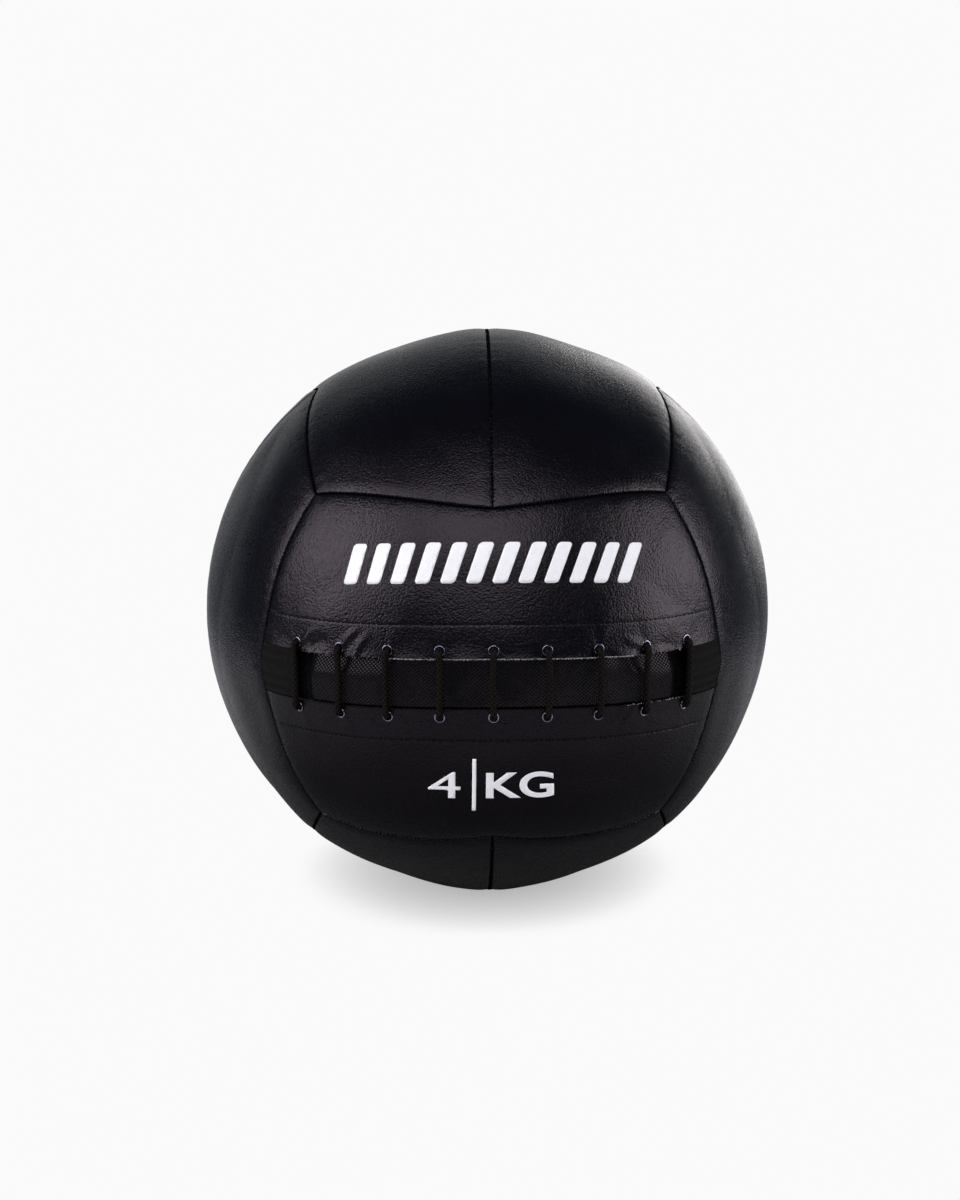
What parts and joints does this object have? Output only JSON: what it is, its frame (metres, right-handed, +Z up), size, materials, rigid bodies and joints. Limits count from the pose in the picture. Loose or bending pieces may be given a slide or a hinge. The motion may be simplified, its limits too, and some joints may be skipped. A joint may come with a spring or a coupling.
{
  "type": "wall ball",
  "caption": "Soft weighted ball of sewn black panels, laced shut at the front over a flap, standing on a settled foot.",
  "frame": {"origin": "on the floor under the middle of the ball", "axes": "+Z up, the laced closure faces -Y and runs along X"},
  "size_m": [0.3494, 0.3491, 0.3452],
  "materials": {
    "cover": "satin pebble-grained coated cloth",
    "facing": "plain woven tape",
    "eyelet": "dark nickel plate",
    "flap": "black vinyl embossed with a fine diamond pattern",
    "webbing": "ribbed woven webbing, brown black",
    "lace": "round braided cord, brown black",
    "liner": "plain cloth",
    "stuffing": "packed textile fibre",
    "sand_bag": "canvas",
    "iron_sand": "fine grains",
    "thread": "bonded sewing thread",
    "print": "white screen print"
  },
  "bodies": {
    "root": {"front_upper_panel": "cover", "front_lower_panel": "cover", "rear_upper_panel": "cover", "rear_lower_panel": "cover", "top_left_panel": "cover", "top_right_panel": "cover", "bottom_left_panel": "cover", "bottom_right_panel": "cover", "left_front_panel": "cover", "left_rear_panel": "cover", "right_front_panel": "cover", "right_rear_panel": "cover", "upper_facing": "facing", "lower_facing": "facing", "upper_eyelet_1": "eyelet", "upper_eyelet_2": "eyelet", "upper_eyelet_3": "eyelet", "upper_eyelet_4": "eyelet", "upper_eyelet_5": "eyelet", "upper_eyelet_6": "eyelet", "upper_eyelet_7": "eyelet", "upper_eyelet_8": "eyelet", "upper_eyelet_9": "eyelet", "lower_eyelet_1": "eyelet", "lower_eyelet_2": "eyelet", "lower_eyelet_3": "eyelet", "lower_eyelet_4": "eyelet", "lower_eyelet_5": "eyelet", "lower_eyelet_6": "eyelet", "lower_eyelet_7": "eyelet", "lower_eyelet_8": "eyelet", "lower_eyelet_9": "eyelet", "closure_flap": "flap", "left_tab": "webbing", "right_tab": "webbing", "lace": "lace", "liner_bag": "liner", "front_stuffing": "stuffing", "rear_stuffing": "stuffing", "sand_bag": "sand_bag", "iron_sand": "iron_sand", "sand_bag_tie": "lace"}
  },
  "joints": []
}
